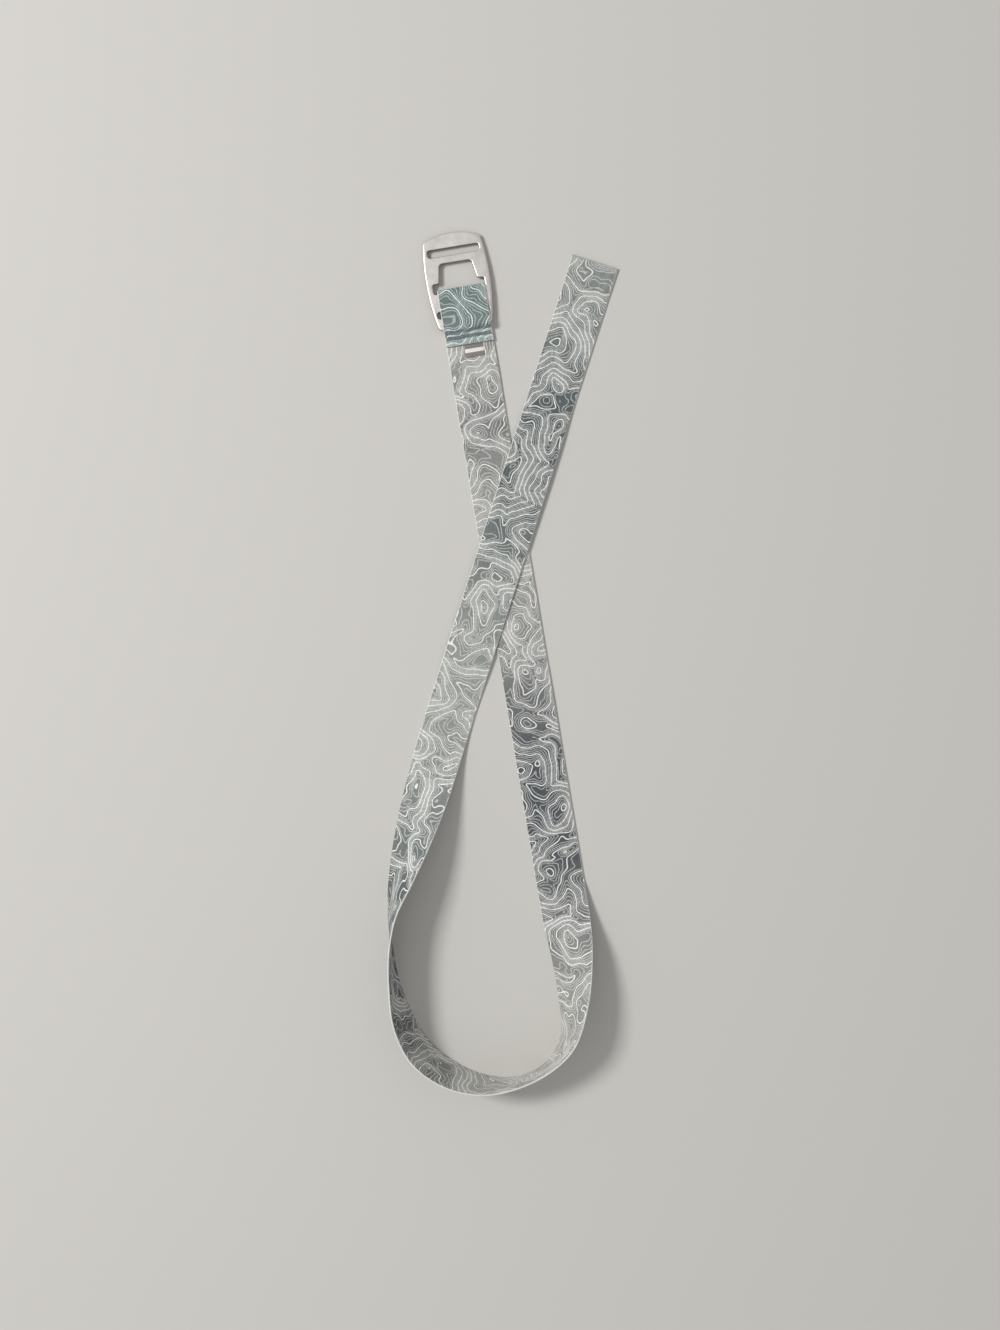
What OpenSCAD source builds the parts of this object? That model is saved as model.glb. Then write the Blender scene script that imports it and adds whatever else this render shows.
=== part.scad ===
// Webbing belt with a cast plate buckle, laid flat in one loose loop.
// +Y runs along the buckle's strand towards the buckle and +Z is up. The origin lies on the
// surface that the belt rests on, right under the crease where the sewn end folds.

/* [Webbing] */
// Width of the webbing
web_w = 38; // [30:1:44]
// Thickness of the webbing
web_t = 1.5; // [1.2:0.1:1.9]
// How far the thin selvedge reaches in from each edge
selvedge = 0.6; // [0.3:0.1:0.9]

/* [Route of the strap] */
// Length of the straight strand from the crease to the loop
strand_len = 440; // [420:5:520]
// Length of the straight free strand from the loop to the cut end
free_len = 371; // [300:1:400]
// Heading of the free strand, clockwise from +Y
free_heading = 27.3; // [25:0.1:30]
// Gap between the two strands where they cross
cross_gap = 0.3; // [0.2:0.1:1]
// Distance beside the lower strand over which the free strand climbs onto it
cross_ramp = 24; // [12:1:40]

/* [Sewn end] */
// Half of the gap between the two sides of the crease
crease_half = 0.1; // [0.05:0.05:0.2]
// Length of the sewn tab from the crease to its cut end
tab_len = 9.2; // [7:0.1:12]
// Middle of the bar tack, behind the crease
tack_back = 2.9; // [2.6:0.1:4]
// Width of the bar tack along the strap
tack_w = 3; // [2:0.1:3.6]
// Height of the bar tack above the webbing
tack_h = 0.6; // [0.3:0.1:0.8]
// How far the bar tack stays clear of each edge
tack_margin = 0.8; // [0.2:0.1:2]
// Horizontal run of the webbing as it drops off the end of the plate
drop_run = 2.1; // [2:0.1:3.5]
// Free play between the webbing and the edge of the window it turns round
loop_play = 1.9; // [0.4:0.1:2.4]

/* [Side label] */
// Width of the label across the strap
label_w = 15; // [8:1:20]
// Visible length of the label beyond the tab
label_len = 10.3; // [6:0.1:14]
// Length of the label that is caught under the tab
label_tuck = 3.5; // [2:0.1:4.5]
// Thickness of the folded label
label_t = 0.5; // [0.3:0.1:0.8]
// Middle of the label beside the strap's centreline
label_x = 2.6; // [-6:0.1:6]

/* [Buckle plate] */
// Distance from the crease to the end of the plate
plate_back = 3.2; // [3.2:0.1:6]
// How far the plate has slid sideways in its webbing
plate_shift = -1.2; // [-1.2:0.1:1.2]
// Thickness of the plate
plate_t = 3.5; // [2.5:0.1:4.5]
// Solid wall beside each strap slot, at the plate's widest place
side_wall = 4.8; // [4:0.1:8]
// Distance from the sewn end to the plate's widest place
widest_at = 41; // [30:1:50]
// Radius of the bowed long sides
side_bow_r = 190; // [170:10:400]
// How far the far end bows out beyond its corners
crown = 5; // [2:0.5:8]
// Corner radius at the far end
far_corner_r = 4.5; // [2:0.5:6]
// Corner radius at the sewn end
near_corner_r = 4.5; // [3:0.5:10]
// Radius of the rounded outer edge
edge_r = 1.4; // [0.6:0.1:1.7]

/* [Openings of the plate] */
// Extra length of each strap slot over the webbing's width
slot_play = 3.4; // [2:0.1:4]
// Height of the far strap slot
far_slot_h = 6.3; // [5:0.1:8]
// Solid bar between the far end and the far strap slot
far_bar = 12; // [9:0.5:16]
// Height of the slot near the sewn end
near_slot_h = 5.5; // [4:0.1:7]
// Solid bar between the sewn end and its slot
near_bar = 9.7; // [7:0.1:11]
// Solid bar between the near slot and the window
mid_bar = 14.2; // [11:0.1:15]
// Height of the wide part of the window, which the webbing passes through
shoulder_h = 8.2; // [7.6:0.1:9]
// Height of the narrow part of the window
opener_h = 15.4; // [12:0.1:16]
// Solid bar between the window and the far strap slot
tie_bar = 5.6; // [4:0.1:9]
// Width of the narrow part of the window at the shoulders
opener_base_w = 30.6; // [24:0.2:32]
// Width of the narrow part of the window at its far edge
opener_top_w = 25.4; // [20:0.2:28]
// Corner radius of the strap slots
slot_corner_r = 2.4; // [1.5:0.1:2.4]
// Corner radius of the window's narrow part
window_corner_r = 3.2; // [2:0.1:3.6]
// Corner radius of the window's wide part
shoulder_corner_r = 2; // [1.2:0.1:3]
// Radius of the two inner teeth where the window narrows
tooth_r = 1.6; // [1.2:0.1:2]
// Radius of the rounded edges round the openings
opening_edge_r = 0.8; // [0.4:0.1:1]

/* [Hidden] */

seat_gap = 0.2;
turn_flat = 0.1;
layer_gap = 0.05;
foot_round = 0.5;
pocket_play = 0.1;
overcut = 1;
corner_steps = 7;
edge_steps = 4;
spline_steps = 6;
free_steps = 36;
lead_steps = 3;
side_samples = 6;
crown_samples = 8;
dome_sides = 64;

half_w = web_w / 2;
half_t = web_t / 2;
slot_len = web_w + slot_play;
plate_half_w = slot_len / 2 + side_wall;
window_y = near_bar + near_slot_h + mid_bar;
far_slot_y = window_y + shoulder_h + opener_h + tie_bar;
plate_len = far_slot_y + far_slot_h + far_bar;

// The plate tips about the window's lower edge until its far end meets the surface.
tip_height = web_t + seat_gap;
plate_tip = asin(tip_height / (plate_len - window_y));
pivot_y = plate_back + window_y;
plate_top_z = tip_height + plate_t;

// Middle of the loop on the surface, station by station: [across, along, lean].
// The places count from the end of the straight strand. The lean is 0 with the printed
// face up, 90 standing on one edge and 180 lying on the other face.
loop_stations = [
    [0, 0, 0],
    [0, -30, 12],
    [-1, -58, 34],
    [-5, -88, 54],
    [-14, -118, 76],
    [-33, -137, 92],
    [-59, -145, 93],
    [-86, -142, 82],
    [-110, -130, 72],
    [-129, -110, 67],
    [-138.5, -84, 71],
    [-141, -56, 82],
    [-139, -26, 91],
    [-133, 2, 104],
    [-121, 29, 124],
    [-107.5, 56.5, 143],
    [-92, 88, 163],
    [-76.5, 120, 176],
    [-62, 149, 180]
];

function unit(v) = v / norm(v);

// ---- outlines with round corners ----

// The outward normal of the edge from a to b, for an outline that runs anticlockwise.
function edge_normal(a, b) = let (d = unit(b - a)) [d[1], -d[0]];

function turned(v, angle) = [
    v[0] * cos(angle) - v[1] * sin(angle),
    v[0] * sin(angle) + v[1] * cos(angle)
];

// One corner of an outline as samples of [point, normal]; a radius of 0 gives one sample.
function round_corner(before, at, after, r) =
    let (
        n1 = edge_normal(before, at),
        n2 = edge_normal(at, after),
        turn = atan2(cross(n1, n2), n1 * n2),
        side = turn < 0 ? -1 : 1,
        middle = at - side * r * (n1 + n2) / (1 + n1 * n2),
        count = r > 0 ? corner_steps : 0
    )
    count == 0 ? [[at, unit(n1 + n2)]] : [
        for (i = [0:count])
            let (n = turned(n1, turn * i / count))
            [middle + side * r * n, n]
    ];

// Corners are [x, y, radius], and the outline closes on itself.
function closed_outline(corners) =
    let (last = len(corners) - 1)
    [
        for (i = [0:last])
            let (
                before = corners[i == 0 ? last : i - 1],
                at = corners[i],
                after = corners[i == last ? 0 : i + 1]
            )
            each round_corner(flat(before), flat(at), flat(after), at[2])
    ];

function flat(p) = [p[0], p[1]];

// The outline moved outwards by grow, at height z.
function ring(outline, grow, z) = [
    for (s = outline)
        let (p = s[0] + grow * s[1])
        [p[0], p[1], z]
];

// A closed skin over rings that all have the same number of points.
module skin(rings) {
    count = len(rings[0]);
    top = len(rings) - 1;
    walls = [
        for (i = [0:top - 1])
            for (j = [0:count - 1])
                let (
                    a = i * count + j,
                    b = i * count + (j + 1) % count,
                    c = b + count,
                    d = a + count
                )
                each [[a, c, b], [a, d, c]]
    ];
    bottom_cap = [for (j = [0:count - 1]) j];
    top_cap = [for (j = [count - 1:-1:0]) top * count + j];
    polyhedron(points = [for (r = rings) each r], faces = concat(walls, [bottom_cap, top_cap]));
}

// ---- buckle plate ----

function plate_half_at(y) = plate_half_w - pow(y - widest_at, 2) / (2 * side_bow_r);

far_corner_y = plate_len - crown;
far_corner_x = plate_half_at(far_corner_y);
side_span = far_corner_y / side_samples;

right_side = [
    for (i = [1:side_samples - 1])
        let (y = i * side_span)
        [plate_half_at(y), y, 0]
];
far_end = [
    for (i = [1:crown_samples - 1])
        let (share = 1 - 2 * i / crown_samples)
        [share * far_corner_x, plate_len - crown * share * share, 0]
];
left_side = [
    for (i = [side_samples - 1:-1:1])
        let (y = i * side_span)
        [-plate_half_at(y), y, 0]
];
plate_corners = concat(
    [[plate_half_at(0), 0, near_corner_r]],
    right_side,
    [[far_corner_x, far_corner_y, far_corner_r]],
    far_end,
    [[-far_corner_x, far_corner_y, far_corner_r]],
    left_side,
    [[-plate_half_at(0), 0, near_corner_r]]
);

shoulder_y = window_y + shoulder_h;
window_top_y = shoulder_y + opener_h;
window_corners = [
    [-slot_len / 2, window_y, shoulder_corner_r],
    [slot_len / 2, window_y, shoulder_corner_r],
    [slot_len / 2, shoulder_y, shoulder_corner_r],
    [opener_base_w / 2, shoulder_y, tooth_r],
    [opener_top_w / 2, window_top_y, window_corner_r],
    [-opener_top_w / 2, window_top_y, window_corner_r],
    [-opener_base_w / 2, shoulder_y, tooth_r],
    [-slot_len / 2, shoulder_y, shoulder_corner_r]
];

function slot_corners(y, height) = [
    [-slot_len / 2, y, slot_corner_r],
    [slot_len / 2, y, slot_corner_r],
    [slot_len / 2, y + height, slot_corner_r],
    [-slot_len / 2, y + height, slot_corner_r]
];

// How far a rounded edge of radius r is drawn in, level by level, up to a half turn.
function edge_levels(r) = concat(
    [for (i = [0:edge_steps]) let (a = 90 * i / edge_steps) [r * (1 - sin(a)), r * (1 - cos(a))]],
    [for (i = [edge_steps:-1:0])
        let (a = 90 * i / edge_steps)
        [r * (1 - sin(a)), plate_t - r * (1 - cos(a))]]
);

module plate_blank() {
    outline = closed_outline(plate_corners);
    skin([for (level = edge_levels(edge_r)) ring(outline, -level[0], level[1])]);
}

// A cutter for one opening, flared where it meets the two faces.
module opening_cutter(corners) {
    outline = closed_outline(corners);
    levels = concat(
        [[opening_edge_r, -overcut]],
        edge_levels(opening_edge_r),
        [[opening_edge_r, plate_t + overcut]]
    );
    skin([for (level = levels) ring(outline, level[0], level[1])]);
}

module buckle_plate() {
    color("silver")
        translate([plate_shift, pivot_y, tip_height])
        rotate([-plate_tip, 0, 0])
        translate([0, -window_y, 0])
        difference() {
            plate_blank();
            opening_cutter(slot_corners(near_bar, near_slot_h));
            opening_cutter(window_corners);
            opening_cutter(slot_corners(far_slot_y, far_slot_h));
        }
}

// ---- webbing round the buckle ----

// Height of the webbing's middle where it lies on the tipped plate.
function on_plate_z(y) = plate_top_z + (pivot_y - y) * tan(plate_tip) + seat_gap + half_t;

turn_y = pivot_y + loop_play + half_t;
turn_r = (on_plate_z(turn_y) - half_t) / 2 - turn_flat;
drop_foot_y = plate_back - drop_run;
drop_top_y = drop_foot_y + drop_run - crease_half;
drop_top_r = edge_r + seat_gap + half_t;
drop_foot_r = half_t + foot_round;

// The middle line of the webbing, seen from the side: [along, up, bend radius].
loop_line = [
    [crease_half, half_t, 0],
    [turn_y, half_t, turn_r],
    [turn_y, on_plate_z(turn_y), turn_r],
    [drop_top_y, on_plate_z(drop_top_y), drop_top_r],
    [drop_foot_y, web_t + layer_gap + half_t, drop_foot_r],
    [crease_half, web_t + layer_gap + half_t, 0]
];

// Samples of the open line, with its ends square.
function open_outline(line) =
    let (last = len(line) - 1)
    concat(
        [[flat(line[0]), edge_normal(flat(line[0]), flat(line[1]))]],
        [
            for (i = [1:last - 1])
                each round_corner(flat(line[i - 1]), flat(line[i]), flat(line[i + 1]), line[i][2])
        ],
        [[flat(line[last]), edge_normal(flat(line[last - 1]), flat(line[last]))]]
    );

module buckle_loop() {
    samples = open_outline(loop_line);
    outer = [for (s = samples) s[0] + half_t * s[1]];
    inner = [for (i = [len(samples) - 1:-1:0]) samples[i][0] - half_t * samples[i][1]];
    color("slategray")
        translate([-half_w, 0, 0])
        rotate([90, 0, 90])
        linear_extrude(web_w)
        polygon(concat(outer, inner));
}

// ---- strap ----

function spline(a, b, c, d, t) =
    0.5 * (2 * b + (c - a) * t + (2 * a - 5 * b + 4 * c - d) * t * t
        + (3 * b - a - 3 * c + d) * t * t * t);

loop_start = [0, -strand_len, 0];
station_count = len(loop_stations);
stations = [for (s = loop_stations) loop_start + s];
lead_in = stations[0] - (stations[1] - stations[0]);
free_step = [sin(free_heading), cos(free_heading), 0] * free_len / free_steps;
lead_out = stations[station_count - 1] + free_step * lead_steps;
guides = concat([lead_in], stations, [lead_out]);

loop_points = [
    for (i = [1:station_count - 1])
        for (j = [0:spline_steps - 1])
            spline(guides[i - 1], guides[i], guides[i + 1], guides[i + 2], j / spline_steps)
];
free_points = [for (i = [0:free_steps]) stations[station_count - 1] + free_step * i];
route = concat([[0, -crease_half, 0]], loop_points, free_points);
free_from = 1 + len(loop_points);

function heading_at(i) =
    let (
        a = route[max(i - 1, 0)],
        b = route[min(i + 1, len(route) - 1)]
    )
    unit(flat(b) - flat(a));

function smooth(share) = let (s = max(0, min(1, share))) s * s * (3 - 2 * s);

// The free strand climbs onto the straight strand, which lies along the Y axis.
function lift_at(i, reach) =
    i < free_from ? 0 :
        (web_t + cross_gap) * (1 - smooth((abs(route[i][0]) - reach - half_w) / cross_ramp));

// Half of one ring's points, from the edge that stays down to the one that rises.
section = [
    [-half_w, 0],
    [-half_w + selvedge, -half_t],
    [half_w - selvedge, -half_t],
    [half_w, 0],
    [half_w - selvedge, half_t],
    [-half_w + selvedge, half_t]
];

function strap_ring(i) =
    let (
        h = heading_at(i),
        lean = route[i][2],
        rim = [-h[1] * cos(lean), h[0] * cos(lean), sin(lean)],
        face = [h[1] * sin(lean), -h[0] * sin(lean), cos(lean)],
        reach = half_w * abs(h[1]),
        height = half_w * sin(lean) + half_t * abs(cos(lean)) + lift_at(i, reach),
        middle = [route[i][0], route[i][1], height]
    )
    [for (p = section) middle + p[0] * rim + p[1] * face];

module strap_webbing() {
    color("slategray")
        skin([for (i = [len(route) - 1:-1:0]) strap_ring(i)]);
}

// ---- sewn end ----

module label_block(play) {
    depth = label_len + label_tuck;
    translate([label_x - label_w / 2 - play, -tab_len - label_len, web_t])
        cube([label_w + 2 * play, depth + play, label_t + play]);
}

module tab_end() {
    color("slategray")
        difference() {
            translate([-half_w, -tab_len, web_t])
                cube([web_w, tab_len - crease_half, web_t]);
            label_block(pocket_play);
        }
}

module woven_label() {
    color("gray")
        label_block(0);
}

// A low domed band of stitches: the cap of a long cylinder.
module bar_tack() {
    dome_r = (pow(tack_w / 2, 2) + pow(tack_h, 2)) / (2 * tack_h);
    tack_len = web_w - 2 * tack_margin;
    color("dimgray")
        intersection() {
            translate([-tack_len / 2, -tack_back, 2 * web_t + tack_h - dome_r])
                rotate([0, 90, 0])
                cylinder(h = tack_len, r = dome_r, $fn = dome_sides);
            translate([-half_w, -tack_back - tack_w, 2 * web_t])
                cube([web_w, 2 * tack_w, 2 * tack_h]);
        }
}

buckle_plate();
buckle_loop();
strap_webbing();
tab_end();
bar_tack();
woven_label();
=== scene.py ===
import math

import bmesh
import bpy
from mathutils import Matrix, Vector


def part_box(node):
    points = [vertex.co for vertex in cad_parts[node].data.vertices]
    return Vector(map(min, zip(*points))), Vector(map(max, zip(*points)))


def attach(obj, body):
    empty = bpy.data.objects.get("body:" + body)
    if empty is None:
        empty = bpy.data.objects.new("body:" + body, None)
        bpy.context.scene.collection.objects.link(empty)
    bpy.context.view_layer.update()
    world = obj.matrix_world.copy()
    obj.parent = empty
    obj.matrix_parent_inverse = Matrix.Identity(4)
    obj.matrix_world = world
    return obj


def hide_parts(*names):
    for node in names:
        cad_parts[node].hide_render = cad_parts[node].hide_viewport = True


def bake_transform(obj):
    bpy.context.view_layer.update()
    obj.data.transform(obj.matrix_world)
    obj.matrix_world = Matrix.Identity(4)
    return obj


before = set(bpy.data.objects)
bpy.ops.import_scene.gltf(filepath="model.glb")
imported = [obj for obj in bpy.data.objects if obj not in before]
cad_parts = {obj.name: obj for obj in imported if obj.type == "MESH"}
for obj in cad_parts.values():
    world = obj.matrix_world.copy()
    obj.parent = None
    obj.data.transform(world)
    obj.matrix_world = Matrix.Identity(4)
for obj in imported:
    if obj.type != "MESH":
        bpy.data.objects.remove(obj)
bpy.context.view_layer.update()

# ---- Table top, lamps and camera ----
# The belt lies on a plain pale laminate top, under a large soft lamp at the upper left.
# The camera looks straight down on it from a little over a metre.

PIXEL_SIZE = 0.00079  # metres of table top in one pixel of the photograph
PICTURE_LONG_SIDE = 1330
PICTURE_MIDDLE = Vector((500.0, 665.0))
CREASE_PIXEL = Vector((468.3, 333.0))
VIEW_HEIGHT = 1.10
VIEW_TURN = math.radians(9.5)  # the buckle's strand leans this much in the picture
SENSOR_LONG_SIDE = 36  # in millimetres
TABLE_HALF_SIDE = 4
TABLE_DROP = 0.0002  # keeps the top clear of the webbing's underside

from_crease = (PICTURE_MIDDLE - CREASE_PIXEL) * PIXEL_SIZE
view_middle = Matrix.Rotation(-VIEW_TURN, 2) @ Vector((from_crease.x, -from_crease.y))

camera_data = bpy.data.cameras.new("camera")
camera_data.sensor_width = SENSOR_LONG_SIDE
camera_data.lens = SENSOR_LONG_SIDE * VIEW_HEIGHT / (PICTURE_LONG_SIDE * PIXEL_SIZE)
camera = bpy.data.objects.new("camera", camera_data)
camera.location = (view_middle.x, view_middle.y, VIEW_HEIGHT)
camera.rotation_euler = (0, 0, -VIEW_TURN)
bpy.context.scene.collection.objects.link(camera)
bpy.context.scene.camera = camera
bpy.context.scene.view_settings.view_transform = "Standard"


def srgb(code):
    """A colour written as sRGB hex, turned to the linear values that a shader takes."""
    shares = [int(code[i : i + 2], 16) / 255 for i in (1, 3, 5)]
    return [s / 12.92 if s <= 0.04045 else ((s + 0.055) / 1.055) ** 2.4 for s in shares] + [1.0]


def new_material(name):
    """A node material, with its node tree and its shader."""
    material = bpy.data.materials.new(name)
    material.use_nodes = True
    return material, material.node_tree, material.node_tree.nodes["Principled BSDF"]


# Matt laminate: pale, even and almost without gloss.
laminate, tree, shader = new_material("pale_matt_laminate")
shader.inputs["Base Color"].default_value = srgb("#c8c5bf")
shader.inputs["Roughness"].default_value = 0.8

bm = bmesh.new()
bmesh.ops.create_grid(bm, x_segments=1, y_segments=1, size=TABLE_HALF_SIDE)
bmesh.ops.translate(bm, verts=bm.verts, vec=(view_middle.x, view_middle.y, -TABLE_DROP))
table_mesh = bpy.data.meshes.new("table_top")
bm.to_mesh(table_mesh)
bm.free()
table_mesh.materials.append(laminate)
table_top = bpy.data.objects.new("table_top", table_mesh)
bpy.context.scene.collection.objects.link(table_top)

room = bpy.data.worlds.new("soft_white_room")
room.use_nodes = True
room_light = room.node_tree.nodes["Background"].inputs
room_light["Color"].default_value = srgb("#f4f5f7")
room_light["Strength"].default_value = 0.50
bpy.context.scene.world = room

# Each lamp: name, direction from the belt, distance and width in metres, power in watts.
for name, direction, distance, width, power in (
    ("key_softbox", (-0.85, 0.45, 1.0), 3.6, 0.8, 94),
    ("fill_softbox", (-0.1, -1.0, 1.2), 3.6, 2.2, 6),
):
    lamp_data = bpy.data.lights.new(name, "AREA")
    lamp_data.size = width
    lamp_data.energy = power
    lamp = bpy.data.objects.new(name, lamp_data)
    towards = Vector(direction).normalized()
    lamp.location = Vector((view_middle.x, view_middle.y, 0)) + towards * distance
    lamp.rotation_euler = towards.to_track_quat("Z", "Y").to_euler()
    bpy.context.scene.collection.objects.link(lamp)


# ---- Strap ----
# One length of flat woven polyester webbing, printed on both faces with contour lines.
# It runs flat from the crease, stands up round the loop, turns over and lies flat again
# across its own first strand, to a heat-sealed cut end.

loop_low, loop_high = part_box("buckle_loop")
tab_low, tab_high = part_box("tab_end")
WEB_WIDTH = loop_high.x - loop_low.x
WEB_THICK = tab_high.z - tab_low.z
STRAND_LENGTH = 0.440
FREE_LENGTH = 0.371
FREE_HEADING = math.radians(27.3)
CROSSING_GAP = 0.0003
CROSSING_RAMP = 0.024
UNDER_TAB = 0.0012  # the strap and the sewn end meet this far behind the crease
RING_STEP = 0.0028
FIRST_GUIDE = 0.031  # on the free strand, so far beyond the loop's last station
ROCK_LEAN = 0.010  # in radians, because webbing never lies quite flat
ROCK_LENGTHS = (0.021, 0.047)
ROCK_START = 1.3
SELVEDGE = [  # distance in from the edge, and share of the half thickness
    (0.0, 0.0),
    (0.00012, 0.55),
    (0.0004, 0.88),
    (0.0008, 1.0),
    (0.0017, 0.98),
    (0.0021, 0.82),
    (0.0025, 1.0),
]
FACE_SHARES = (0.72, 0.5, 0.25, 0, -0.25, -0.5, -0.72)

# Middle of the loop on the table, from the end of the straight strand: across and along
# in metres, and the lean in degrees: 0 face up, 90 on edge, 180 on the other face.
LOOP_STATIONS = [
    (0, 0, 0),
    (0, -0.030, 12),
    (-0.001, -0.058, 34),
    (-0.005, -0.088, 54),
    (-0.014, -0.118, 76),
    (-0.033, -0.137, 92),
    (-0.059, -0.145, 93),
    (-0.086, -0.142, 82),
    (-0.110, -0.130, 72),
    (-0.129, -0.110, 67),
    (-0.1385, -0.084, 71),
    (-0.141, -0.056, 82),
    (-0.139, -0.026, 91),
    (-0.133, 0.002, 104),
    (-0.121, 0.029, 124),
    (-0.1075, 0.0565, 143),
    (-0.092, 0.088, 163),
    (-0.0765, 0.120, 176),
    (-0.062, 0.149, 180),
]

half_width = WEB_WIDTH / 2
half_thick = WEB_THICK / 2


def spline(a, b, c, d, t):
    """A point between b and c on the smooth curve through four guides."""
    bend = (2 * a - 5 * b + 4 * c - d) * t**2 + (3 * b - a - 3 * c + d) * t**3
    return 0.5 * (2 * b + (c - a) * t + bend)


def strap_route():
    """The strap's middle on the table, and the index at which its free strand begins."""
    stations = [Vector((x, y - STRAND_LENGTH, lean)) for x, y, lean in LOOP_STATIONS]
    ahead = Vector((math.sin(FREE_HEADING), math.cos(FREE_HEADING), 0))
    guides = [stations[0] * 2 - stations[1], *stations, stations[-1] + ahead * FIRST_GUIDE]
    start = Vector((0, -UNDER_TAB, 0))
    count = round((stations[0] - start).length / RING_STEP)
    points = [start.lerp(stations[0], i / count) for i in range(count)]
    for i in range(1, len(stations)):
        count = round((guides[i + 1] - guides[i]).to_2d().length / RING_STEP)
        points += [spline(*guides[i - 1 : i + 3], j / count) for j in range(count)]
    free_from = len(points)
    count = round(FREE_LENGTH / RING_STEP)
    points += [stations[-1] + ahead * FREE_LENGTH * i / count for i in range(count + 1)]
    return points, free_from


def smooth_share(share):
    """A share from 0 to 1 that eases in and out."""
    share = min(max(share, 0), 1)
    return share * share * (3 - 2 * share)


def strap_rings(points, free_from):
    """For each point: middle, direction across, direction of the face and length so far."""
    rings, along = [], UNDER_TAB
    for i, point in enumerate(points):
        heading = (points[min(i + 1, len(points) - 1)] - points[max(i - 1, 0)]).to_2d()
        heading.normalize()
        along += (point - points[i - 1]).to_2d().length if i else 0
        rock = ROCK_LEAN * math.sin(along / ROCK_LENGTHS[0])
        rock *= math.sin(along / ROCK_LENGTHS[1] + ROCK_START)
        rock *= abs(math.cos(math.radians(point.z))) ** 4  # none where it stands on edge
        lean = math.radians(point.z) + rock
        across = Vector((-heading.y * math.cos(lean), heading.x * math.cos(lean), math.sin(lean)))
        face = Vector((heading.y * math.sin(lean), -heading.x * math.sin(lean), math.cos(lean)))
        beside = abs(point.x) - half_width * abs(heading.y) - half_width
        lift = (WEB_THICK + CROSSING_GAP) * (1 - smooth_share(beside / CROSSING_RAMP))
        height = half_width * abs(math.sin(lean)) + half_thick * abs(math.cos(lean))
        height += lift if i >= free_from else 0
        rings.append((Vector((point.x, point.y, height)), across, face, along))
    return rings


def webbing_section(half_w, half_t):
    """The webbing cut across: flat faces, round selvedges and a groove beside each."""
    rim = [(half_w - inset, share) for inset, share in SELVEDGE]
    middle = [(share * half_w, 1.0) for share in FACE_SHARES]
    top = rim + middle + [(-x, share) for x, share in reversed(rim)]
    bottom = [(x, -share) for x, share in reversed(top[1:-1])]
    return [(x, share * half_t) for x, share in top + bottom]


def add_band(bm, section, rings, sealed=()):
    """Adds a closed band of the given section along its rings.

    Its weave_place attribute holds each point's place on the cloth: across, along, and
    which face it is on. Its sealed attribute marks the rings of a cut end.
    """
    layers = bm.verts.layers
    place = layers.float_vector.get("weave_place") or layers.float_vector.new("weave_place")
    cut_end = layers.float.get("sealed") or layers.float.new("sealed")
    columns, rows = len(section), len(rings) - 1
    verts = bmesh.ops.create_grid(bm, x_segments=columns, y_segments=rows, size=1)["verts"]
    for v in verts:
        column = round((v.co.x + 1) / 2 * columns) % columns
        row = round((v.co.y + 1) / 2 * rows)
        middle, across, face, along = rings[row]
        side, up = section[column]
        v.co = middle + side * across + up * face
        v[place] = (side, along, 0.0 if up > 0 else 1.0)
        v[cut_end] = 1.0 if row in sealed else 0.0
    bmesh.ops.remove_doubles(bm, verts=verts, dist=1e-7)
    ends = [e for e in bm.edges if len(e.link_faces) == 1]
    bmesh.ops.holes_fill(bm, edges=ends, sides=0)


def finished_piece(bm, name, material, angle=50):
    """Links a bmesh as a smooth object, with sharp edges above the angle in degrees."""
    bmesh.ops.recalc_face_normals(bm, faces=bm.faces)
    mesh = bpy.data.meshes.new(name)
    bm.to_mesh(mesh)
    bm.free()
    mesh.polygons.foreach_set("use_smooth", [True] * len(mesh.polygons))
    mesh.set_sharp_from_angle(angle=math.radians(angle))
    mesh.materials.append(material)
    made = bpy.data.objects.new(name, mesh)
    bpy.context.scene.collection.objects.link(made)
    return made


def add_node(tree, kind, inputs, **settings):
    """Adds one node. An input is a value or the output socket that feeds it."""
    made = tree.nodes.new(kind)
    for name, value in settings.items():
        setattr(made, name, value)
    for name, source in inputs.items():
        if isinstance(source, bpy.types.NodeSocket):
            tree.links.new(source, made.inputs[name])
        else:
            made.inputs[name].default_value = source
    return made


# Polyester webbing, woven in fine ribs and transfer-printed: fine pale contour lines,
# broken up by the ribs, with every fourth line thick and almost white. The ink of the
# back is a little cooler and varies less.
HILL_SIZE = 0.034  # from one hill of the print to the next
HILL_ROUNDING = 0.30
LAND_SIZE = 0.050  # the rolling land that the hills stand on
LAND_RISE = 0.045
LINE_STEP = 0.0017  # from one contour line to the next
LINES_TO_THICK = 4
FINE_HALF = 0.00033  # half widths of the lines
THICK_HALF = 0.00037
PRINT_WAVES = ((0.038, 0.013), (0.013, 0.0050))  # size and reach of the waves that bend it
LINE_BLUR = 0.3  # share of its half width over which a line fades, out and in
BACK_SHIFT = 0.35  # the back takes its print from this far aside
PROBE = 0.0004  # step at which the slope of the land is felt
LEAST_SLOPE = 0.11  # keeps a line from spreading where the land is flat
RIB_PITCH = 0.0017  # half as much again as the real pitch, so that the ribs show
FUZZ_SIZE = 0.0022
FUZZ_TURN = 5.0  # how far the fuzz turns the waves of ribs and yarns
WEAVE_NUDGE = 0.00012  # how far the weave pushes the lines aside
FINE_STRENGTH = 0.40
FINE_BREAKS = 0.20  # how much stronger and weaker the fine lines get on the ribs
PAINTED_LIGHT_WAVE_LENGTH = 0.41  # length of one wave of painted light and shade along the strap
PAINTED_LIGHT_WAVE_START = -1.08
PAINTED_LIGHT_WAVE_DEPTH = 0.43
SHADE = 0.22  # from 0 with most ink to 1 with least: on most of the strap
PAINTED_LIGHT_LEVEL = 0.80  # painted light: the level from just behind the crease on over the sewn end
PAINTED_LIGHT_FADE = (0.07, 0.03)  # between these lengths from the crease
SEWN_END_PAINTED_SHADE = -0.24  # painted shade, added on the sewn end
SEWN_END_FADE = 0.006  # the length beyond the crease in which that comes in
BLOTCH_SIZE = 0.02
BLOTCH_DEPTH = 0.32
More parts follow.
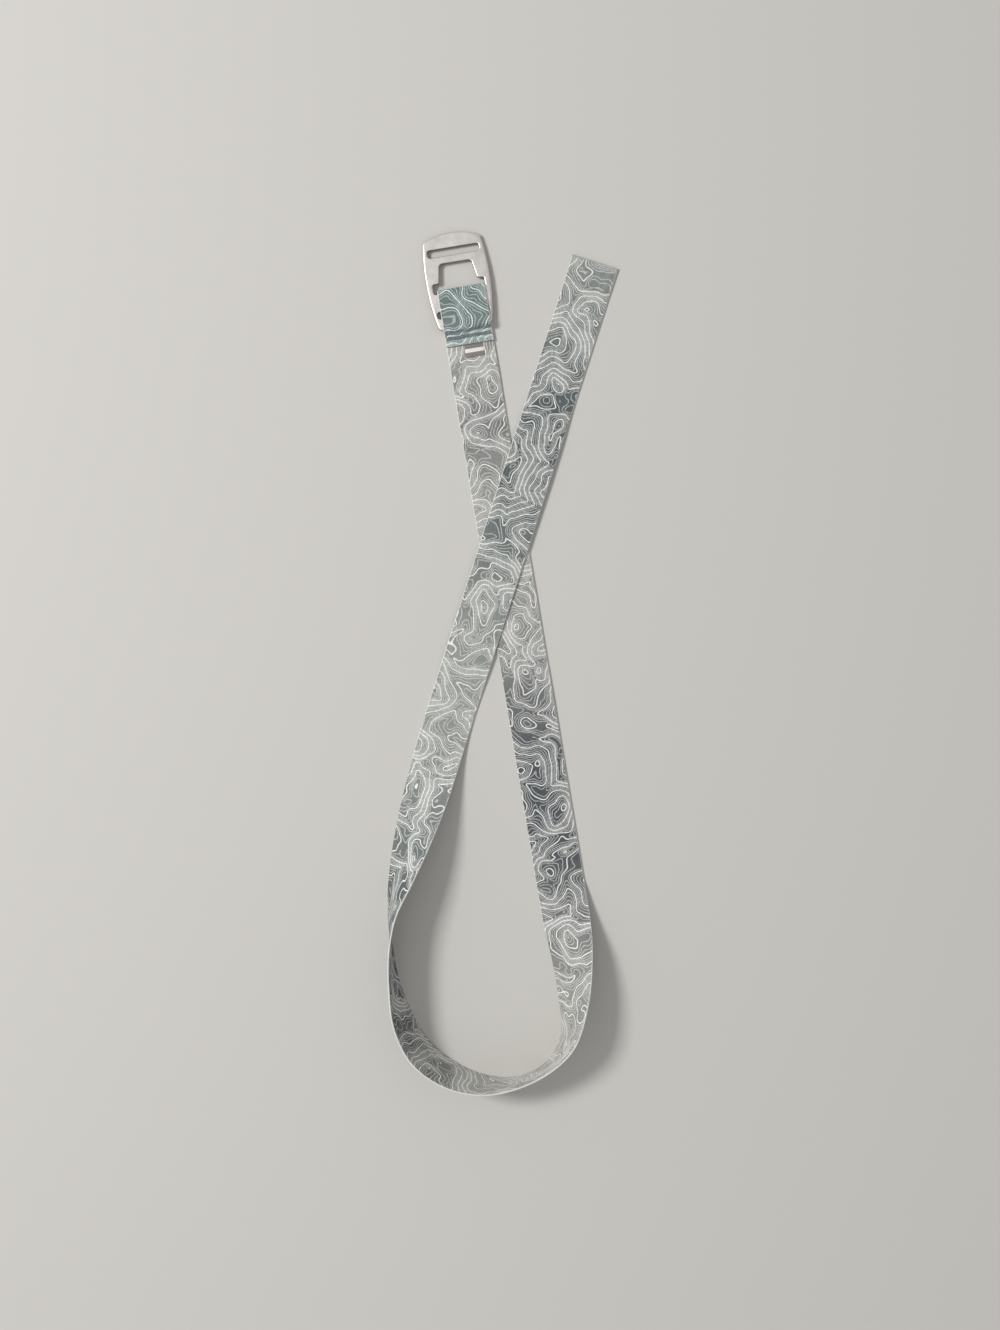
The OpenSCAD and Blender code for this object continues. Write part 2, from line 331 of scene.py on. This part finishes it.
HOLLOW_PAINTED_SHADE = 0.71  # painted shade: brightness between the ribs
RIB_PAINTED_LIGHT = 0.58  # painted light: how much brighter the ribs are
SELVEDGE_FADE = (0.0007, 0.0001)  # between these distances in from the edge
RIB_RELIEF = 0.0003

webbing_print, tree, shader = new_material("woven_printed_polyester")
on_web = add_node(tree, "ShaderNodeAttribute", {}, attribute_name="weave_place").outputs["Vector"]
web_axes = add_node(tree, "ShaderNodeSeparateXYZ", {0: on_web}).outputs
on_back = add_node(
    tree, "ShaderNodeMath", {0: web_axes[2], 1: 0.5}, operation="GREATER_THAN"
).outputs[0]
# The two faces take their print from two places of one endless pattern.
print_x = add_node(
    tree, "ShaderNodeMath", {0: on_back, 1: BACK_SHIFT, 2: web_axes[0]}, operation="MULTIPLY_ADD"
).outputs[0]
print_place = add_node(tree, "ShaderNodeCombineXYZ", {0: print_x, 1: web_axes[1]}).outputs[0]


def print_height(tree, place, shift):
    """Height of the printed landscape at a place on the webbing, moved by the shift.

    Hills on a loose grid stand on rolling land, bent by broad and by narrow waves.
    """
    moved = add_node(
        tree, "ShaderNodeVectorMath", {0: place, 1: shift}, operation="ADD"
    ).outputs[0]
    bent = moved
    for size, reach in PRINT_WAVES:
        wave = add_node(
            tree,
            "ShaderNodeTexNoise",
            {"Vector": moved, "Scale": 1 / size, "Detail": 0.0},
            noise_dimensions="2D",
        ).outputs["Color"]
        centred = add_node(
            tree, "ShaderNodeVectorMath", {0: wave, 1: (0.5, 0.5, 0.5)}, operation="SUBTRACT"
        ).outputs[0]
        pushed = add_node(
            tree, "ShaderNodeVectorMath", {0: centred, "Scale": reach * 2}, operation="SCALE"
        ).outputs[0]
        bent = add_node(
            tree, "ShaderNodeVectorMath", {0: bent, 1: pushed}, operation="ADD"
        ).outputs[0]
    hills = add_node(
        tree,
        "ShaderNodeTexVoronoi",
        {"Vector": bent, "Scale": 1 / HILL_SIZE, "Smoothness": HILL_ROUNDING},
        voronoi_dimensions="2D",
        feature="SMOOTH_F1",
    ).outputs["Distance"]
    lie_of_land = add_node(
        tree,
        "ShaderNodeTexNoise",
        {"Vector": moved, "Scale": 1 / LAND_SIZE, "Detail": 0.0},
        noise_dimensions="2D",
    ).outputs[0]
    lie_of_land = add_node(
        tree,
        "ShaderNodeMath",
        {0: lie_of_land, 1: LAND_RISE, 2: LINE_STEP},
        operation="MULTIPLY_ADD",
    ).outputs[0]
    return add_node(
        tree,
        "ShaderNodeMath",
        {0: hills, 1: HILL_SIZE, 2: lie_of_land},
        operation="MULTIPLY_ADD",
    ).outputs[0]


here = print_height(tree, print_place, (0, 0, 0))
rises = [
    add_node(
        tree,
        "ShaderNodeMath",
        {0: print_height(tree, print_place, shift), 1: here},
        operation="SUBTRACT",
    ).outputs[0]
    for shift in ((PROBE, 0, 0), (0, PROBE, 0))
]
slope = add_node(tree, "ShaderNodeCombineXYZ", {0: rises[0], 1: rises[1]}).outputs[0]
slope = add_node(tree, "ShaderNodeVectorMath", {0: slope}, operation="LENGTH").outputs["Value"]
slope = add_node(
    tree, "ShaderNodeMath", {0: slope, 1: 1 / PROBE, 2: LEAST_SLOPE}, operation="MULTIPLY_ADD"
).outputs[0]

# The ribs cross the strap at a slant, and the yarns run along it.
rib_turn = add_node(
    tree,
    "ShaderNodeVectorMath",
    {0: on_web, 1: (math.tau / RIB_PITCH / 2, math.tau / RIB_PITCH, 0)},
    operation="DOT_PRODUCT",
).outputs["Value"]
yarn_turn = add_node(
    tree,
    "ShaderNodeVectorMath",
    {0: on_web, 1: (math.tau / RIB_PITCH, -math.tau / RIB_PITCH / 2, 0)},
    operation="DOT_PRODUCT",
).outputs["Value"]
fuzz = add_node(
    tree, "ShaderNodeTexNoise", {"Vector": on_web, "Scale": 1 / FUZZ_SIZE, "Detail": 2.0}
).outputs[0]
fuzzy_turns = [
    add_node(
        tree, "ShaderNodeMath", {0: fuzz, 1: FUZZ_TURN, 2: turn}, operation="MULTIPLY_ADD"
    ).outputs[0]
    for turn in (rib_turn, yarn_turn)
]
rib, yarn = (
    add_node(tree, "ShaderNodeMath", {0: turn}, operation="SINE").outputs[0]
    for turn in fuzzy_turns
)
weave = add_node(tree, "ShaderNodeMath", {0: rib, 1: yarn}, operation="MULTIPLY").outputs[0]
weave_height = add_node(
    tree, "ShaderNodeMath", {0: weave, 1: 0.5, 2: fuzz}, operation="MULTIPLY_ADD"
).outputs[0]
# The weave nudges the print by the same small distance on steep and on flat land.
nudge = add_node(tree, "ShaderNodeMath", {0: weave, 1: slope}, operation="MULTIPLY").outputs[0]
printed_height = add_node(
    tree, "ShaderNodeMath", {0: nudge, 1: WEAVE_NUDGE, 2: here}, operation="MULTIPLY_ADD"
).outputs[0]


def contour_lines(tree, height, slope, step, half_line):
    """1 on the contour lines that are a step of height apart, and 0 between them."""
    off_line = add_node(
        tree, "ShaderNodeMath", {0: height, 1: step / 2}, operation="PINGPONG"
    ).outputs[0]
    distance = add_node(
        tree, "ShaderNodeMath", {0: off_line, 1: slope}, operation="DIVIDE"
    ).outputs[0]
    return add_node(
        tree,
        "ShaderNodeMapRange",
        {
            "Value": distance,
            "From Min": half_line * (1 - LINE_BLUR),
            "From Max": half_line * (1 + LINE_BLUR),
            "To Min": 1.0,
            "To Max": 0.0,
        },
        interpolation_type="SMOOTHSTEP",
    ).outputs[0]


fine_lines = contour_lines(tree, printed_height, slope, LINE_STEP, FINE_HALF)
thick_lines = contour_lines(
    tree, printed_height, slope, LINE_STEP * LINES_TO_THICK, THICK_HALF
)
broken = add_node(
    tree, "ShaderNodeMath", {0: weave, 1: FINE_BREAKS, 2: FINE_STRENGTH}, operation="MULTIPLY_ADD"
).outputs[0]
fine_lines = add_node(
    tree, "ShaderNodeMath", {0: fine_lines, 1: broken}, operation="MULTIPLY"
).outputs[0]
# Painted light and shade: the strap is painted paler and darker in turns along its length, in one
# long wave.
painted_light_wave = add_node(
    tree,
    "ShaderNodeMath",
    {0: web_axes[1], 1: math.tau / PAINTED_LIGHT_WAVE_LENGTH, 2: PAINTED_LIGHT_WAVE_START},
    operation="MULTIPLY_ADD",
).outputs[0]
painted_light_wave = add_node(tree, "ShaderNodeMath", {0: painted_light_wave}, operation="SINE").outputs[0]
# Painted light: from a little behind the crease, and on over the sewn end, the strap is painted
# paler.
# On the sewn end, painted shade takes part of that back.
painted_light_and_shade = add_node(
    tree,
    "ShaderNodeMapRange",
    {
        "Value": web_axes[1],
        "From Min": PAINTED_LIGHT_FADE[0],
        "From Max": PAINTED_LIGHT_FADE[1],
        "To Min": SHADE,
        "To Max": PAINTED_LIGHT_LEVEL,
    },
).outputs[0]
on_sewn_end = add_node(
    tree,
    "ShaderNodeMapRange",
    {"Value": web_axes[1], "From Min": 0.0, "From Max": -SEWN_END_FADE},
).outputs[0]
painted_light_and_shade = add_node(
    tree, "ShaderNodeMath", {0: on_sewn_end, 1: SEWN_END_PAINTED_SHADE, 2: painted_light_and_shade}, operation="MULTIPLY_ADD"
).outputs[0]
painted_light_wave = add_node(
    tree, "ShaderNodeMath", {0: painted_light_wave, 1: PAINTED_LIGHT_WAVE_DEPTH, 2: painted_light_and_shade}, operation="MULTIPLY_ADD"
).outputs[0]
blotches = add_node(
    tree, "ShaderNodeTexNoise", {"Vector": on_web, "Scale": 1 / BLOTCH_SIZE, "Detail": 2.0}
).outputs[0]
# Random blotches of ink, added to the painted light and shade.
blotches_and_painted_light = add_node(
    tree, "ShaderNodeMath", {0: blotches, 1: BLOTCH_DEPTH, 2: painted_light_wave}, operation="MULTIPLY_ADD"
).outputs[0]
front_ink = add_node(
    tree, "ShaderNodeMix", {0: blotches_and_painted_light, 6: srgb("#484e53"), 7: srgb("#a6a59f")}, data_type="RGBA"
).outputs[2]
back_ink = add_node(
    tree, "ShaderNodeMix", {0: blotches_and_painted_light, 6: srgb("#505a5b"), 7: srgb("#9fa29c")}, data_type="RGBA"
).outputs[2]
ground = add_node(
    tree, "ShaderNodeMix", {0: on_back, 6: front_ink, 7: back_ink}, data_type="RGBA"
).outputs[2]
all_lines = add_node(
    tree, "ShaderNodeMath", {0: fine_lines, 1: thick_lines}, operation="MAXIMUM"
).outputs[0]
inked = add_node(
    tree, "ShaderNodeMix", {0: all_lines, 6: ground, 7: srgb("#e9e8e2")}, data_type="RGBA"
).outputs[2]
# The ribs are painted brighter and the hollows between them darker: painted light and shade of
# the weave.
painted_rib_light_and_shade = add_node(
    tree, "ShaderNodeMath", {0: weave_height, 1: RIB_PAINTED_LIGHT, 2: HOLLOW_PAINTED_SHADE}, operation="MULTIPLY_ADD"
).outputs[0]
woven = add_node(
    tree, "ShaderNodeVectorMath", {0: inked, "Scale": painted_rib_light_and_shade}, operation="SCALE"
).outputs[0]
# The sewn end is also tinted a little cooler.
woven = add_node(
    tree,
    "ShaderNodeMix",
    {0: on_sewn_end, 6: woven, 7: srgb("#f0ffff")},
    data_type="RGBA",
    blend_type="MULTIPLY",
).outputs[2]
from_middle = add_node(tree, "ShaderNodeMath", {0: web_axes[0]}, operation="ABSOLUTE").outputs[0]
on_selvedge = add_node(
    tree,
    "ShaderNodeMapRange",
    {
        "Value": from_middle,
        "From Min": half_width - SELVEDGE_FADE[0],
        "From Max": half_width - SELVEDGE_FADE[1],
    },
).outputs[0]
edged = add_node(
    tree, "ShaderNodeMix", {0: on_selvedge, 6: woven, 7: srgb("#dadcd7")}, data_type="RGBA"
).outputs[2]
cut_end = add_node(tree, "ShaderNodeAttribute", {}, attribute_name="sealed").outputs["Fac"]
finished = add_node(
    tree, "ShaderNodeMix", {0: cut_end, 6: edged, 7: srgb("#9a9b96")}, data_type="RGBA"
).outputs[2]
ribbed = add_node(
    tree, "ShaderNodeBump", {"Height": weave_height, "Strength": 0.6, "Distance": RIB_RELIEF}
).outputs[0]
tree.links.new(finished, shader.inputs["Base Color"])
tree.links.new(ribbed, shader.inputs["Normal"])
shader.inputs["Roughness"].default_value = 0.72
shader.inputs["Sheen Weight"].default_value = 0.12
shader.inputs["Sheen Roughness"].default_value = 0.5

route, free_from = strap_route()
rings = strap_rings(route, free_from)
section = webbing_section(half_width, half_thick)
bm = bmesh.new()
add_band(bm, section, rings, sealed=(len(rings) - 1,))
strap = finished_piece(bm, "strap", webbing_print)
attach(strap, "strap")
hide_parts("strap_webbing")


# ---- Sewn end ----
# The end of the same webbing: it runs on under the plate, turns up through the window,
# lies back over the plate's lower web and drops onto the strap, where it is sewn down.

LOOP_PLAY = 0.0019
PLATE_TO_WINDOW = 0.0294
WINDOW_TO_FAR_END = 0.0475
PLATE_THICK = 0.0035
PLATE_EDGE = 0.0014
SEAT_GAP = 0.0002
DROP_RUN = 0.0021
DROP_BEND = 0.0005  # inner radius of the bend where the webbing lands on the strap
PLATE_END_GAP = 0.0001
LAYER_GAP = 0.00005
BENDS_APART = 0.0001  # half the straight stretch between the two bends of its turn
BEND_STEP = 0.0007

tip_height = WEB_THICK + SEAT_GAP
plate_tip = math.asin(tip_height / WINDOW_TO_FAR_END)
turn_y = loop_high.y - half_thick
pivot_y = turn_y - half_thick - LOOP_PLAY
plate_end_y = pivot_y - PLATE_TO_WINDOW
two_layers = WEB_THICK + half_thick + LAYER_GAP


def over_plate(y):
    """Height of the webbing's middle where it lies on the tipped plate."""
    slant = (pivot_y - y) * math.tan(plate_tip)
    return tip_height + PLATE_THICK + slant + SEAT_GAP + half_thick


def rounded(before, at, after, radius, step):
    """One corner of a flat line, as points a step apart with normals to the right."""
    first, second = (at - before).normalized(), (after - at).normalized()
    n1, n2 = Vector((first.y, -first.x)), Vector((second.y, -second.x))
    turn = math.atan2(n1.x * n2.y - n1.y * n2.x, n1.dot(n2))
    side = math.copysign(radius, turn)
    middle = at - side * (n1 + n2) / (1 + n1.dot(n2))
    count = max(2, round(abs(turn) * radius / step))
    normals = [Matrix.Rotation(turn * i / count, 2) @ n1 for i in range(count + 1)]
    return [(middle + side * n, n) for n in normals]


def filled(line, step):
    """The same line of points and normals, with more between those far apart."""
    full = []
    for (start, start_normal), (end, end_normal) in zip(line, line[1:]):
        count = max(1, round((end - start).length / step))
        for i in range(count):
            normal = start_normal.lerp(end_normal, i / count).normalized()
            full.append((start.lerp(end, i / count), normal))
    return full + [line[-1]]


turn_radius = (over_plate(turn_y) - half_thick) / 2 - BENDS_APART
side_view = [  # along, up and bend radius
    (-UNDER_TAB, half_thick, 0),
    (turn_y, half_thick, turn_radius),
    (turn_y, over_plate(turn_y), turn_radius),
    (plate_end_y - PLATE_END_GAP, over_plate(plate_end_y), PLATE_EDGE + SEAT_GAP + half_thick),
    (plate_end_y - DROP_RUN, two_layers, half_thick + DROP_BEND),
    (tab_low.y, two_layers, 0),
]
corners = [Vector(corner[:2]) for corner in side_view]
bends = [
    rounded(*corners[i - 1 : i + 2], side_view[i][2], BEND_STEP)
    for i in range(1, len(corners) - 1)
]
line = [(corners[0], Vector((0, -1))), *sum(bends, []), (corners[-1], Vector((0, 1)))]
line = filled(line, BEND_STEP)
sewn_rings, along = [], UNDER_TAB
for i, (point, normal) in enumerate(line):
    along -= (point - line[i - 1][0]).length if i else 0
    face = Vector((0, -normal.x, -normal.y))
    sewn_rings.append((Vector((0, point.x, point.y)), Vector((1, 0, 0)), face, along))
bm = bmesh.new()
add_band(bm, section, sewn_rings, sealed=(len(sewn_rings) - 1,))
sewn_end = finished_piece(bm, "sewn_end", webbing_print)
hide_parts("buckle_loop", "tab_end")
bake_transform(sewn_end)


# ---- Bar tack ----
# A dense zigzag of heavy polyester thread over straight laid threads, machine-sewn
# through both layers across the whole width, pulled down into the webbing at each side.

tack_low, tack_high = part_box("bar_tack")
THREAD_RADIUS = 0.00026
THREAD_SIDES = 6
ZIGZAG_PITCH = 0.00078
STITCH_SHARES = (0, 0.06, 0.3, 0.5, 0.7, 0.94)
STITCH_SQUARENESS = 0.35  # the lower, the sooner a stitch rises and the flatter its top
STITCH_SINK = 0.0002  # how deep its ends are pulled into the webbing
STRAY = 0.00045  # how far a stitch may end beside its row
STRAY_TURNS = (2.4, 4)  # of the wave that it follows: per stitch, and within one
LAID_THREADS = 5
LAID_HEIGHT = 0.0001

# Bonded polyester thread: blue-grey, dark and pale in turns, with a fine slanted twist.
TWIST_PITCH = 0.0005
WAVE_BANDS = 3  # about as many bands fill one unit in a wave texture of scale 1
LINT_SIZE = 0.0013
sewing_thread, tree, shader = new_material("bonded_polyester_thread")
in_space = add_node(tree, "ShaderNodeTexCoord", {}).outputs["Object"]
twist = add_node(
    tree,
    "ShaderNodeTexWave",
    {"Vector": in_space, "Scale": 1 / TWIST_PITCH / WAVE_BANDS, "Distortion": 1.5},
    bands_direction="DIAGONAL",
).outputs["Fac"]
lint = add_node(
    tree, "ShaderNodeTexNoise", {"Vector": in_space, "Scale": 1 / LINT_SIZE, "Detail": 2.0}
).outputs[0]
thread_colour = add_node(
    tree, "ShaderNodeMix", {0: lint, 6: srgb("#2b3136"), 7: srgb("#99a2a6")}, data_type="RGBA"
).outputs[2]
twisted = add_node(
    tree, "ShaderNodeBump", {"Height": twist, "Strength": 0.5, "Distance": 0.0001}
).outputs[0]
tree.links.new(thread_colour, shader.inputs["Base Color"])
tree.links.new(twisted, shader.inputs["Normal"])
shader.inputs["Roughness"].default_value = 0.55

round_thread = [
    (
        THREAD_RADIUS * math.cos(math.tau * i / THREAD_SIDES),
        THREAD_RADIUS * math.sin(math.tau * i / THREAD_SIDES),
    )
    for i in range(THREAD_SIDES)
]


def thread_rings(points):
    """Rings for a thread that runs through the points."""
    rings = []
    for i, point in enumerate(points):
        ahead = (points[min(i + 1, len(points) - 1)] - points[max(i - 1, 0)]).normalized()
        across = ahead.cross(Vector((0, 0, 1))).normalized()
        rings.append((point, across, across.cross(ahead), 0.0))
    return rings


tack_left, tack_right = tack_low.x + THREAD_RADIUS, tack_high.x - THREAD_RADIUS
tack_depth = tack_high.y - tack_low.y
tack_rise = tack_high.z - tack_low.z
bm = bmesh.new()
for i in range(LAID_THREADS):
    y = tack_low.y + tack_depth * (i + 1) / (LAID_THREADS + 1)
    laid = [Vector((x, y, tack_low.z + LAID_HEIGHT)) for x in (tack_left, 0, tack_right)]
    add_band(bm, round_thread, thread_rings(laid))
zigzag = []
for i in range(round((tack_right - tack_left) / ZIGZAG_PITCH)):
    for share in STITCH_SHARES:
        across_share = share if i % 2 == 0 else 1 - share
        stray = STRAY * math.sin(i * STRAY_TURNS[0] + STRAY_TURNS[1] * across_share)
        stray *= 2 * across_share - 1
        arch = math.sin(math.pi * share) ** STITCH_SQUARENESS
        rise = (tack_rise - THREAD_RADIUS) * arch - STITCH_SINK
        x = tack_left + ZIGZAG_PITCH * (i + share)
        y = tack_low.y + tack_depth * across_share + stray
        zigzag.append(Vector((x, y, tack_low.z + rise)))
add_band(bm, round_thread, thread_rings(zigzag))
bar_tack = finished_piece(bm, "bar_tack_thread", sewing_thread)
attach(bar_tack, "strap")
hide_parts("bar_tack")


# ---- Side label ----
# A short piece of woven polyester ribbon, folded double. Its two raw ends are caught
# under the sewn tab, and its fold lies loose on the strap.

label_low, label_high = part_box("woven_label")
RIBBON_THICK = 0.0002
FOLD_SPRING = 0.00035  # how far the fold springs up, clear of the strap
RIBBON_GAP = 0.00002
STRIPE_HALF = 0.0015
STRIPE_FROM_FOLD = 0.0051
FOLD_STEP = 0.00008
FOLD_STRAIGHT = 1e-6  # half the straight stretch between the two bends of the fold
RIBBON_STEP = 0.0008
stripe_y = label_low.y + STRIPE_FROM_FOLD
label_middle_x = (label_low.x + label_high.x) / 2
label_half = (label_high.x - label_low.x) / 2
fold_radius = (label_high.z - label_low.z - RIBBON_THICK) / 2 - 2 * RIBBON_GAP

# Woven ribbon: grey-brown satin ground with one plain off-white stripe across it.
PICK_PITCH = 0.0006  # twice the real pitch, so that the weave shows
STRIPE_FADE = 0.0002
RIBBON_LINT = 0.0012
woven_ribbon, tree, shader = new_material("woven_satin_ribbon")
in_space = add_node(tree, "ShaderNodeTexCoord", {}).outputs["Object"]
axes = add_node(tree, "ShaderNodeSeparateXYZ", {0: in_space}).outputs
from_stripe = add_node(
    tree, "ShaderNodeMath", {0: axes[1], 1: stripe_y}, operation="SUBTRACT"
).outputs[0]
from_stripe = add_node(tree, "ShaderNodeMath", {0: from_stripe}, operation="ABSOLUTE").outputs[0]
in_stripe = add_node(
    tree,
    "ShaderNodeMapRange",
    {
        "Value": from_stripe,
        "From Min": STRIPE_HALF - STRIPE_FADE,
        "From Max": STRIPE_HALF + STRIPE_FADE,
        "To Min": 1.0,
        "To Max": 0.0,
    },
).outputs[0]
picks = add_node(
    tree,
    "ShaderNodeTexWave",
    {"Vector": in_space, "Scale": 1 / PICK_PITCH / WAVE_BANDS, "Distortion": 0.4},
    bands_direction="Y",
).outputs["Fac"]
lint = add_node(
    tree, "ShaderNodeTexNoise", {"Vector": in_space, "Scale": 1 / RIBBON_LINT, "Detail": 2.0}
).outputs[0]
ribbon_ground = add_node(
    tree, "ShaderNodeMix", {0: lint, 6: srgb("#6b6863"), 7: srgb("#8d8882")}, data_type="RGBA"
).outputs[2]
ribbon_colour = add_node(
    tree, "ShaderNodeMix", {0: in_stripe, 6: ribbon_ground, 7: srgb("#e4e2dc")}, data_type="RGBA"
).outputs[2]
picked = add_node(
    tree, "ShaderNodeBump", {"Height": picks, "Strength": 0.5, "Distance": 0.0001}
).outputs[0]
tree.links.new(ribbon_colour, shader.inputs["Base Color"])
tree.links.new(picked, shader.inputs["Normal"])
shader.inputs["Roughness"].default_value = 0.6

low_z = label_low.z + RIBBON_THICK / 2 + RIBBON_GAP
high_z = low_z + 2 * fold_radius
fold_y = label_low.y + RIBBON_THICK / 2
corners = [
    Vector((label_high.y, low_z)),
    Vector((fold_y, low_z)),
    Vector((fold_y, high_z)),
    Vector((label_high.y, high_z)),
]
line = [
    (corners[0], Vector((0, 1))),
    *rounded(*corners[0:3], fold_radius - FOLD_STRAIGHT, FOLD_STEP),
    *rounded(*corners[1:4], fold_radius - FOLD_STRAIGHT, FOLD_STEP),
    (corners[-1], Vector((0, -1))),
]
ribbon_rings, along = [], 0.0
line = filled(line, RIBBON_STEP)
for i, (point, normal) in enumerate(line):
    along += (point - line[i - 1][0]).length if i else 0
    beyond_tab = max(0, (tab_low.y - point.x) / (tab_low.y - label_low.y))
    middle = Vector((label_middle_x, point.x, point.y + FOLD_SPRING * beyond_tab**2))
    face = Vector((0, -normal.x, -normal.y))
    ribbon_rings.append((middle, Vector((1, 0, 0)), face, along))
# Shares of the half width and of the half thickness.
ribbon_rim = [(1, 0.5), (0.98, 1), (0.5, 1), (0, 1), (-0.5, 1), (-0.98, 1), (-1, 0.5)]
ribbon_rim += [(x, -share) for x, share in reversed(ribbon_rim)]
ribbon_section = [(x * label_half, share * RIBBON_THICK / 2) for x, share in ribbon_rim]
bm = bmesh.new()
add_band(bm, ribbon_section, ribbon_rings)
label = finished_piece(bm, "side_label", woven_ribbon)
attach(label, "strap")
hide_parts("woven_label")


# ---- Buckle plate ----
# One flat aluminium casting with a strap slot, an opener-shaped window and a second slot
# under the webbing. It was tumbled until its edges were round and its face satin.

# Cast aluminium, tumbled: pale warm silver, a fine grain, brighter, smoother edges, and side
# walls in painted shade.
GRIT_SIZE = 0.0007
CLOUD_SIZE = 0.007
EDGE_FACING = (0.985, 0.75)  # share by which it faces up where the rubbed edge fades in
PAINTED_WALL_SHADE_FACING = (0.70, 0.20)  # and where the painted shade of the side walls does
SATIN = 0.46  # roughness of the faces
EDGE_SHINE = -0.14  # added to it on a rubbed edge
cast_aluminium, tree, shader = new_material("tumbled_cast_aluminium")
on_plate = add_node(tree, "ShaderNodeTexCoord", {}).outputs
grit = add_node(
    tree,
    "ShaderNodeTexNoise",
    {"Vector": on_plate["Object"], "Scale": 1 / GRIT_SIZE, "Detail": 3.0, "Roughness": 0.6},
).outputs[0]
clouds = add_node(
    tree,
    "ShaderNodeTexNoise",
    {"Vector": on_plate["Object"], "Scale": 1 / CLOUD_SIZE, "Detail": 5.0},
).outputs[0]
facing = add_node(tree, "ShaderNodeSeparateXYZ", {0: on_plate["Normal"]}).outputs[2]
facing = add_node(tree, "ShaderNodeMath", {0: facing}, operation="ABSOLUTE").outputs[0]
rubbed = add_node(
    tree,
    "ShaderNodeMapRange",
    {"Value": facing, "From Min": EDGE_FACING[0], "From Max": EDGE_FACING[1]},
).outputs[0]
silver = add_node(
    tree, "ShaderNodeMix", {0: clouds, 6: srgb("#c6c0b9"), 7: srgb("#faf5ef")}, data_type="RGBA"
).outputs[2]
silver = add_node(
    tree, "ShaderNodeMix", {0: rubbed, 6: silver, 7: srgb("#f3efe9")}, data_type="RGBA"
).outputs[2]
# Painted shade: the side walls are painted a darker grey.
painted_wall_shade = add_node(
    tree,
    "ShaderNodeMapRange",
    {"Value": facing, "From Min": PAINTED_WALL_SHADE_FACING[0], "From Max": PAINTED_WALL_SHADE_FACING[1]},
).outputs[0]
silver = add_node(
    tree, "ShaderNodeMix", {0: painted_wall_shade, 6: silver, 7: srgb("#857f79")}, data_type="RGBA"
).outputs[2]
satin = add_node(
    tree, "ShaderNodeMath", {0: rubbed, 1: EDGE_SHINE, 2: SATIN}, operation="MULTIPLY_ADD"
).outputs[0]
grainy = add_node(
    tree, "ShaderNodeBump", {"Height": grit, "Strength": 0.4, "Distance": 0.0001}
).outputs[0]
tree.links.new(silver, shader.inputs["Base Color"])
tree.links.new(satin, shader.inputs["Roughness"])
tree.links.new(grainy, shader.inputs["Normal"])
shader.inputs["Metallic"].default_value = 1.0

# The casting's own solid, merged so that its round edges shade smoothly.
bm = bmesh.new()
bm.from_mesh(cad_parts["buckle_plate"].data)
bmesh.ops.remove_doubles(bm, verts=bm.verts, dist=1e-6)
plate = finished_piece(bm, "cast_plate", cast_aluminium, angle=40)
smoothing = plate.modifiers.new("face_weighted_shading", "WEIGHTED_NORMAL")
smoothing.keep_sharp = True
smoothing.weight = 100
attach(plate, "buckle")
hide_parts("buckle_plate")
